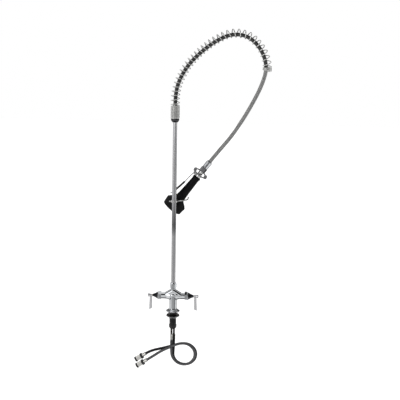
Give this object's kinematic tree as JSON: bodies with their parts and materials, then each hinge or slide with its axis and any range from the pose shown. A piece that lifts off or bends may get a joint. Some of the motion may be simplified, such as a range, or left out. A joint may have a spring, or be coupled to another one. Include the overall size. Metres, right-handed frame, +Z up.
{
  "type": "pre-rinse faucet",
  "caption": "Deck faucet with lever handles, tall riser, sprung overhead hose, squeeze-lever spray valve and flexible supply hoses",
  "frame": {"origin": "centre of the gasket's underside, where the faucet seats on the deck", "axes": "+Z up along the riser, +X along the valve arms to the right-hand handle, -Y towards the user"},
  "size_m": [0.5055, 0.1375, 1.3204],
  "materials": {
    "black_nylon": "glass-filled black nylon",
    "black_rubber": "moulded black rubber",
    "brass": "machined brass",
    "brushed_steel": "satin stainless tube and turned fittings",
    "ceramic": "lapped ceramic",
    "chrome_casting": "polished chrome plate on cast brass",
    "copper_tube": "dark drawn tube",
    "dark_braid": "dark braided hose jacket",
    "grey_braid": "grey braided hose jacket",
    "spring_steel": "drawn stainless spring wire",
    "steel_braid": "ribbed stainless hose jacket"
  },
  "bodies": {
    "base": {"valve_body": "chrome_casting", "deck_gasket": "black_rubber", "mounting_shank": "black_nylon", "left_bonnet": "chrome_casting", "right_bonnet": "chrome_casting", "left_cartridge": "brass", "right_cartridge": "brass", "left_fixed_disc": "ceramic", "right_fixed_disc": "ceramic", "seat_seals": "black_rubber", "union_washers": "black_rubber", "check_valves": "black_nylon", "hot_supply_stem": "copper_tube", "hot_upper_ferrule": "brushed_steel", "hot_supply_hose": "grey_braid", "hot_lower_ferrule": "brushed_steel", "hot_tailpiece": "black_nylon", "cold_supply_stem": "copper_tube", "cold_upper_ferrule": "brushed_steel", "cold_supply_hose": "dark_braid", "cold_lower_ferrule": "brushed_steel", "cold_tailpiece": "black_nylon"},
    "left_lever": {"left_stem": "brass", "left_turning_disc": "ceramic", "left_handle": "chrome_casting", "left_handle_screw": "brushed_steel", "left_index_cap": "chrome_casting"},
    "right_lever": {"right_stem": "brass", "right_turning_disc": "ceramic", "right_handle": "chrome_casting", "right_handle_screw": "brushed_steel", "right_index_cap": "chrome_casting"},
    "deck_nut": {"clamp_washer": "black_rubber", "lock_nut": "brushed_steel"},
    "hot_nut": {"hot_union_nut": "brushed_steel"},
    "cold_nut": {"cold_union_nut": "brushed_steel"},
    "riser": {"riser_nut": "chrome_casting", "riser_set_screw": "brushed_steel", "riser_pipe": "brushed_steel", "riser_seal": "black_rubber", "spring_holder": "chrome_casting", "hose_top_fitting": "brushed_steel", "finger_hook": "brushed_steel", "hook_screw": "brushed_steel", "spray_head": "black_rubber", "spray_face": "black_nylon", "face_screw": "brushed_steel", "spray_valve_body": "brushed_steel", "grip_sleeve": "black_rubber", "lever_pivot_pin": "brushed_steel", "packing_nut": "brass", "plunger_spring": "spring_steel", "hose_adapter": "brushed_steel", "hose_end_ferrule": "chrome_casting", "main_hose": "steel_braid", "overhead_spring": "spring_steel"},
    "valve_lever": {"squeeze_lever": "brushed_steel"},
    "plunger": {"valve_plunger": "brass"},
    "ring": {"hold_down_ring": "brushed_steel"}
  },
  "joints": [
    {"name": "left_handle_turn", "type": "hinge", "parent": "base", "child": "left_lever", "pos_m": [-0.08, 0, 0.064], "axis": [-1, 0, 0], "range_deg": [0, 90]},
    {"name": "right_handle_turn", "type": "hinge", "parent": "base", "child": "right_lever", "pos_m": [0.08, 0, 0.064], "axis": [1, 0, 0], "range_deg": [-90, 0]},
    {"name": "deck_nut_slide", "type": "slide", "parent": "base", "child": "deck_nut", "axis": [0, 0, 1], "range_m": [-0.022, 0]},
    {"name": "hot_nut_spin", "type": "hinge", "parent": "base", "child": "hot_nut", "pos_m": [-0.12582, -0.031, -0.21102], "axis": [-0.8387, 0, -0.5446], "continuous": true},
    {"name": "cold_nut_spin", "type": "hinge", "parent": "base", "child": "cold_nut", "pos_m": [-0.13181, -0.0185, -0.19002], "axis": [-0.8387, 0, -0.5446], "continuous": true},
    {"name": "riser_swivel", "type": "hinge", "parent": "base", "child": "riser", "pos_m": [0, 0, 0.107], "axis": [0, 0, 1], "continuous": true},
    {"name": "lever_squeeze", "type": "hinge", "parent": "riser", "child": "valve_lever", "pos_m": [0.07283, 0.053, 0.54482], "axis": [0, 1, 0], "range_deg": [0, 4], "stiffness_Nm_per_rad": 0.6, "springref_deg": -6.88},
    {"name": "plunger_travel", "type": "slide", "parent": "riser", "child": "plunger", "axis": [0.788, 0, -0.6157], "range_m": [0, 0.0085], "deforming": ["plunger_spring"]},
    {"name": "ring_slide", "type": "slide", "parent": "riser", "child": "ring", "axis": [0.6157, 0, 0.788], "range_m": [0, 0.006]}
  ],
  "couplings": [
    {"joint": "plunger_travel", "follows": "lever_squeeze", "m_per_rad": 0.112}
  ]
}
